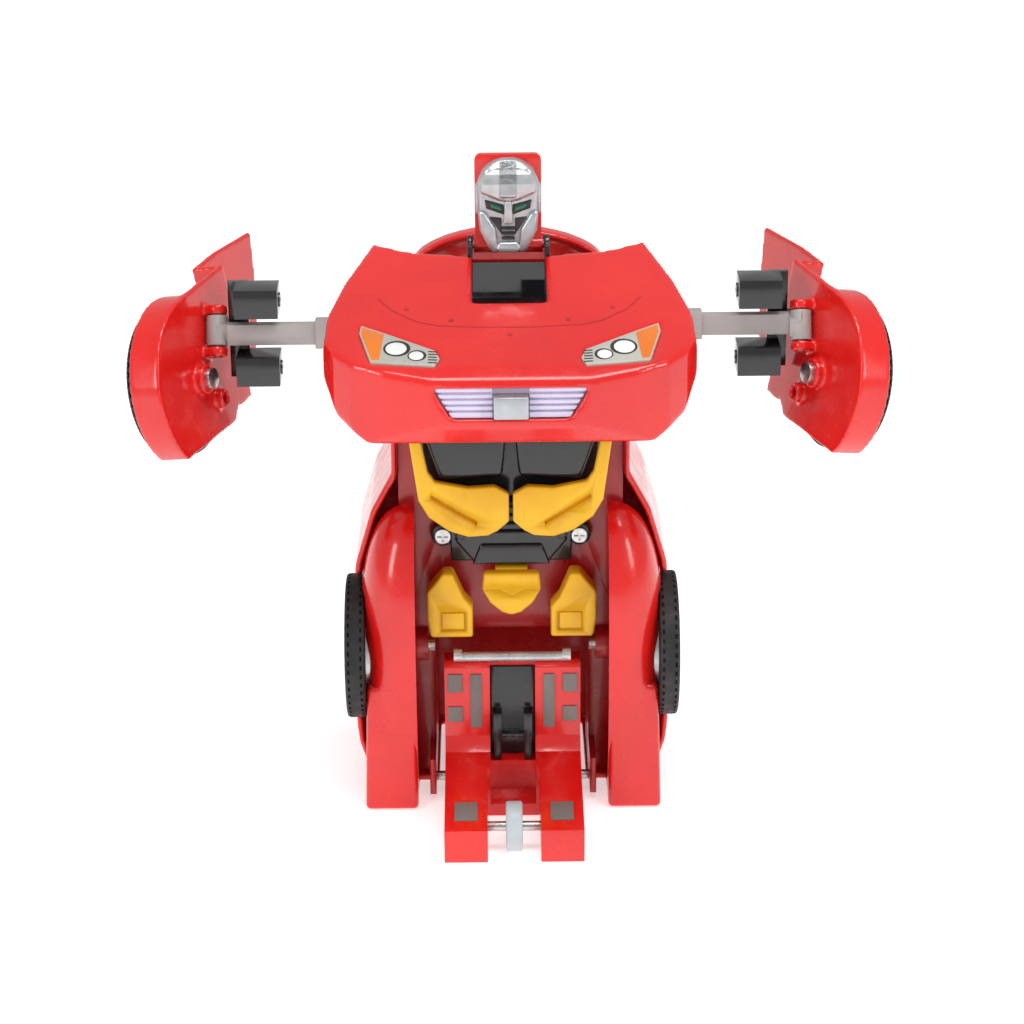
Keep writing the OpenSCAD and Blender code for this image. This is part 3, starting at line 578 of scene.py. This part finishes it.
def hip(name):
    """A yellow thigh plate with its square recess."""
    plate = soft_prism(name, [(12, 54), (25, 54), (26, 60), (26, 69), (21, 75), (18, 75), (14.6, 67),
                              (12, 64)], -9.5, -2, 0.8)
    recess = soft_prism("recess", [(14, 56), (22, 56), (22, 62.5), (14, 62.5)], -12, -8.2, 0.4, 2)
    apply_modifier(plate, "BOOLEAN", operation="DIFFERENCE", object=recess, solver="EXACT")
    bpy.data.objects.remove(recess)
    inner = soft_prism(name + "_inner", [(14.6, 56.6), (21.4, 56.6), (21.4, 61.9), (14.6, 61.9)],
                       -8.9, -8, 0.3, 2)
    root = soft_prism(name + "_root", [(14, 56), (24, 56), (24, 68), (14, 62)], -2.2, 2.9, 0.3, 2)
    return join(name, [plate, inner, root])


def make_torso():
    both_sides(chest_wing, "chest_wing", YELLOW, "yellow_satin", "chassis",
               "chest_plate_left", "chest_plate_right")
    both_sides(hip, "thigh_plate", YELLOW, "yellow_satin", "chassis", "hip_plate_left", "hip_plate_right")
    panels = [
        soft_prism("chest_panel", [(-27, 119), (27, 119), (27, 104), (19, 92), (18.5, 76), (-18.5, 76),
                                   (-19, 92), (-27, 104)], -1, 2.8, 0.6),
        soft_prism("chest_left", [(-26, 118), (-1.4, 118), (-2.4, 105.5), (-21.5, 104.4)], -6.0, -0.5, 1.6, 4),
        soft_prism("chest_right", [(26, 118), (1.4, 118), (2.4, 105.5), (21.5, 104.4)], -6.0, -0.5, 1.6, 4),
        soft_prism("belly", [(-14, 97), (14, 97), (17.5, 84), (11, 76), (-11, 76), (-17.5, 84)], -4.2, -0.5, 1.2),
        soft_prism("belt", [(-9.5, 83), (9.5, 83), (12, 76.4), (-12, 76.4)], -5.2, -1, 0.8),
    ]
    for i in range(4):
        wide = 9.5 - abs(i - 1.2) * 1.1
        panels.append(soft_prism("rib", [(-wide, 86 + i * 2.7), (wide, 86 + i * 2.7),
                                         (wide - 0.8, 87.5 + i * 2.7), (0.8 - wide, 87.5 + i * 2.7)],
                                 -5.6, -3.6, 0.4, 2))
    for side in (-1, 1):
        panels.append(soft_prism("hose", [(side * 12.5, 93), (side * 15.2, 93), (side * 17.2, 85.5),
                                          (side * 14.5, 84.4)], -5.4, -3.4, 0.6, 3))
        deselect_all()
        bpy.ops.mesh.primitive_cylinder_add(vertices=40, radius=3.6 * MM, depth=2.6 * MM,
                                            location=(side * 21 * MM, (1.8 + Y) * MM, 84 * MM),
                                            rotation=(math.pi / 2, 0, 0))
        boss = bpy.context.object
        place_in_mesh(boss)
        bevel_all(boss, 0.3, 2)
        panels.append(boss)
    take_on(join("chest_and_belly", panels), "chassis", BLACK, "black_gloss", "battery_door")
    shield = soft_prism("shield", [(-8.5, 75), (8.5, 75), (9, 69.5), (6.5, 65), (3, 62), (0, 61),
                                   (-3, 62), (-6.5, 65), (-9, 69.5)], -9, -5, 1.0, 4)
    groove = soft_prism("groove", [(-10, 69.2), (-4, 69.6), (0, 67.4), (4, 69.6), (10, 69.2), (10, 69.9),
                                   (4, 70.4), (0, 68.2), (-4, 70.4), (-10, 69.9)], -10, -8.5, 0.05, 1)
    apply_modifier(shield, "BOOLEAN", operation="DIFFERENCE", object=groove, solver="EXACT")
    bpy.data.objects.remove(groove)
    stem = soft_prism("shield_stem", [(-5, 75.4), (5, 75.4), (4, 67), (-4, 67)], -5.2, 2.9, 0.3, 2)
    take_on(join("shield", [shield, stem]), "chassis", YELLOW, "yellow_satin", "shield_plate")


make_torso()


# ---- Head ----

HEAD_FRONT = 8.6


def make_head():
    skull = soft_prism("skull", [(-5, 171), (5, 171), (8.2, 177), (9.2, 184), (9.2, 192), (7, 196.6),
                                 (2.7, 198.7), (-2.7, 198.7), (-7, 196.6), (-9.2, 192), (-9.2, 184),
                                 (-8.2, 177)], HEAD_FRONT + 2.6, 18.05, 1.6, 4)
    brow = soft_prism("brow", [(-8.6, 189.4), (-3, 187), (0, 186.4), (3, 187), (8.6, 189.4), (7.8, 194.6),
                               (3.4, 196.8), (-3.4, 196.8), (-7.8, 194.6)], HEAD_FRONT + 1, 14, 1.1, 4)
    crest = soft_prism("crest", [(-2.6, 188), (2.6, 188), (2.6, 198.5), (-2.6, 198.5)],
                       HEAD_FRONT + 0.1, 16, 0.8, 3)
    pieces = [skull, brow, crest]
    for side in (-1, 1):
        pieces.append(soft_prism("cheek", [(side * 3.1, 171.2), (side * 5.4, 171.6), (side * 8.5, 178),
                                           (side * 9, 184.2), (side * 6.6, 183.4), (side * 3.6, 178.4)],
                                 HEAD_FRONT + 0.9, 13, 0.9, 3))
        pieces.append(soft_prism("ear", [(side * 8.6, 182), (side * 9.8, 183), (side * 9.8, 191),
                                         (side * 8.6, 192)], HEAD_FRONT + 3.6, 16.5, 0.5, 2))
    nose = soft_prism("nose", [(-1.5, 180), (1.5, 180), (1, 187), (-1, 187)], HEAD_FRONT + 0.5, 13, 0.5, 3)
    chin = soft_prism("chin", [(-3, 171.2), (3, 171.2), (4, 172.6), (2.8, 174.4), (-2.8, 174.4), (-4, 172.4)],
                      HEAD_FRONT + 0.9, 14, 0.7, 3)
    pieces += [nose, chin]
    for piece in pieces:                # keeps the head inside the room it folds through
        limit = add_prism("limit", [(18.1, 173.6), (14, 173.6), (14, 170), (9.3, 170), (8.4, 174), (8.4, 188),
                                    (10.4, 195), (12.9, 198.7), (18.1, 198.7)], -12, 12)
        limit.data.transform(Matrix.Translation((0, Y * MM, 0)) @ Matrix.Rotation(math.pi / 2, 4, "Z"))
        tidy_normals(limit)
        apply_modifier(piece, "BOOLEAN", operation="INTERSECT", object=limit, solver="EXACT")
        bpy.data.objects.remove(limit)
    take_on(join("helmet_shell", pieces), "head", SILVER, "silver_paint", "helmet")
    dark = []
    for side in (-1, 1):
        dark.append(soft_prism("socket", [(side * 1.2, 182.6), (side * 6.6, 184.6), (side * 7, 187.2),
                                          (side * 1.3, 185.6)], HEAD_FRONT + 2.0, 12.4, 0.3, 2))
        dark.append(soft_prism("cheek_gap", [(side * 1.9, 176.4), (side * 3.4, 178.6), (side * 5.6, 182),
                                             (side * 2, 181.6)], HEAD_FRONT + 2.1, 12.4, 0.3, 2))
    for i in range(3):
        dark.append(soft_prism("breather_slot", [(-2.1, 175.1 + i * 1.5), (2.1, 175.1 + i * 1.5),
                                                 (1.8, 175.9 + i * 1.5), (-1.8, 175.9 + i * 1.5)],
                               HEAD_FRONT + 1.5, 12.4, 0.15, 2))
    take_on(join("helmet_recesses", dark), "head", GUNMETAL, "silver_paint")
    eyes = [soft_prism("eye", [(side * 2, 183.7), (side * 5.2, 184.9), (side * 5.4, 186.1), (side * 2.1, 185.1)],
                       HEAD_FRONT + 1.6, 11.2, 0.3, 3) for side in (-1, 1)]
    take_on(join("eye_lenses", eyes), "head", GREEN, "green_eye", "eyes")


make_head()


# ---- Headlamps ----

HOOD_SLOPE = math.radians(15.2)
BUMPER_Y, BUMPER_Z = -46, 154


def on_hood(piece, lift):
    """Lays a flat piece made at Z = 0 onto the sloping hood."""
    slope = math.tan(HOOD_SLOPE)
    for vertex in piece.data.vertices:
        depth = vertex.co.y / MM
        vertex.co.z += (BUMPER_Z + (depth - BUMPER_Y) * slope + lift) * MM
        vertex.co.y += Y * MM
    return piece


def flat_outline(name, outline, thick, material=None):
    piece = add_prism(name, [(x, 0) for x, _ in outline], 0, 1)
    bpy.data.objects.remove(piece)
    mesh = bpy.data.meshes.new(name)
    build = bmesh.new()
    face = build.faces.new([build.verts.new((x * MM, y * MM, 0)) for x, y in outline])
    moved = bmesh.ops.extrude_face_region(build, geom=[face])["geom"]
    bmesh.ops.translate(build, vec=(0, 0, thick * MM), verts=[v for v in moved if isinstance(v, bmesh.types.BMVert)])
    bmesh.ops.recalc_face_normals(build, faces=build.faces)
    build.to_mesh(mesh)
    build.free()
    piece = bpy.data.objects.new(name, mesh)
    bpy.context.scene.collection.objects.link(piece)
    return piece


def disc(x, y, outer, inner=0, points=32):
    """Outline of a round spot; the inner radius is not used."""
    return [(x + outer * math.cos(i * math.tau / points), y + outer * math.sin(i * math.tau / points))
            for i in range(points)]


def make_headlamp(side, label):
    lens = flat_outline("lens", [(side * x, y) for x, y in
                                 [(43, -25), (33.6, -30.5), (21.5, -38), (20.1, -42), (21.5, -45.5),
                                  (33, -44.3), (39.8, -43.4), (43.4, -29)]], 1.0)
    bevel_all(on_hood(lens, -0.75), 0.25, 2)
    take_on(lens, "nose", LAMP_GREY, "lamp_print", "headlamp_" + label)
    amber = flat_outline("amber", [(side * x, y) for x, y in
                                   [(42.6, -26), (36.2, -29.8), (37.4, -42.8), (39.5, -42.6), (42.9, -29.4)]], 0.4)
    bevel_all(on_hood(amber, -0.05), 0.12, 2)
    take_on(amber, "nose", AMBER, "lamp_print")
    rings = []
    spots = []
    for x, y, r in ((32.4, -37, 3.9), (26.6, -40.6, 2.7)):
        ring = on_hood(flat_outline("ring", disc(side * x, y, r), 0.3), 0.05)
        bevel_all(ring, 0.1, 2)
        rings.append(ring)
        spot = on_hood(flat_outline("spot", disc(side * (x + 0.2), y - 0.2, r * 0.78), 0.3), 0.15)
        bevel_all(spot, 0.12, 2)
        spots.append(spot)
    for i in range(5):
        y = -38.6 - i * 1.35
        rings.append(on_hood(flat_outline("stripe", [(side * 20.9, y), (side * 23.4, y + 0.2),
                                                     (side * 23.4, y - 0.3), (side * 20.9, y - 0.5)], 0.2), 0.1))
    take_on(join("lamp_rings_" + label, rings), "nose", GUNMETAL, "lamp_print")
    take_on(join("lamp_spots_" + label, spots), "nose", LAMP_WHITE, "lamp_print")


make_headlamp(-1, "left")
make_headlamp(1, "right")


def make_hood_lines():
    """The shut line of the hood and five small moulded dots."""
    route = [(-38.5, -11), (-34, -17.5), (-27, -23), (-21, -25.2), (-8, -26.2), (8, -26.2), (21, -25.2),
             (27, -23), (34, -17.5), (38.5, -11)]
    lines = []
    for (x1, y1), (x2, y2) in zip(route, route[1:]):
        length = math.hypot(x2 - x1, y2 - y1)
        across = ((y1 - y2) / length * 0.22, (x2 - x1) / length * 0.22)
        lines.append(on_hood(flat_outline("line", [
            (x1 - across[0], y1 - across[1]), (x2 - across[0], y2 - across[1]),
            (x2 + across[0], y2 + across[1]), (x1 + across[0], y1 + across[1])], 0.4), -0.3))
    for x, y in ((-30, -16.5), (30, -16.5), (-17, -22.5), (17, -22.5), (0, -30)):
        lines.append(on_hood(flat_outline("dot", disc(x, y, 0.7), 0.4), -0.25))
    take_on(join("hood_lines", lines), "nose", DARK_RED, "dark_red")


make_hood_lines()


# ---- Floor, light and camera ----

def make_stage():
    deselect_all()
    bpy.ops.mesh.primitive_plane_add(size=8, location=(0, 2.0, -0.0002))
    floor = bpy.context.object
    floor.name = "studio_floor"
    place_in_mesh(floor)
    paper = Finish("studio paper", (0.93, 0.93, 0.935), 0.75, specular=0.2)
    paper.vary_colour(9, (0.915, 0.915, 0.92))
    paper.bump(paper.noise(500, detail=3), 0.00003, 0.3)
    paper.shader.inputs["Emission Color"].default_value = (1, 1, 1, 1)
    paper.shader.inputs["Emission Strength"].default_value = 0.5
    floor.data.materials.append(paper.material)
    world = bpy.data.worlds.new("studio")
    bpy.context.scene.world = world
    world.use_nodes = True
    world.node_tree.nodes["Background"].inputs["Color"].default_value = (1, 1, 1, 1)
    world.node_tree.nodes["Background"].inputs["Strength"].default_value = 0.5


def area_light(name, place, size, power, aim=(0, 0, 0.1)):
    light = bpy.data.lights.new(name, "AREA")
    light.shape = "RECTANGLE"
    light.size, light.size_y = size
    light.energy = power
    lamp = bpy.data.objects.new(name, light)
    bpy.context.scene.collection.objects.link(lamp)
    lamp.location = place
    lamp.rotation_euler = (Vector(aim) - Vector(place)).to_track_quat("-Z", "Y").to_euler()


def make_lights():
    area_light("overhead softbox", (0.1, -0.2, 0.95), (0.5, 0.35), 4.2)
    area_light("left softbox", (-0.8, -0.75, 0.5), (0.22, 0.6), 3.0)
    area_light("right softbox", (0.8, -0.7, 0.55), (0.2, 0.55), 2.4)


def make_camera():
    """The eye stands a little above the toy and looks slightly down at it."""
    azimuth, elevation, roll = math.radians(0.37), math.radians(21.48), math.radians(0.45)
    distance, target = 0.863, Vector((0.0004, 0, 0.0891))
    ahead = Vector((math.sin(azimuth) * math.cos(elevation), math.cos(azimuth) * math.cos(elevation),
                    -math.sin(elevation)))
    camera = bpy.data.objects.new("camera", bpy.data.cameras.new("camera"))
    bpy.context.scene.collection.objects.link(camera)
    camera.data.lens = 98.25
    camera.data.sensor_width = 36
    camera.data.clip_start = 0.01
    camera.matrix_world = (Matrix.Translation(target - ahead * distance)
                           @ ahead.to_track_quat("-Z", "Y").to_matrix().to_4x4()
                           @ Matrix.Rotation(-roll, 4, "Z"))
    bpy.context.scene.camera = camera


make_stage()
make_lights()
make_camera()
bpy.context.scene.view_settings.view_transform = "Standard"
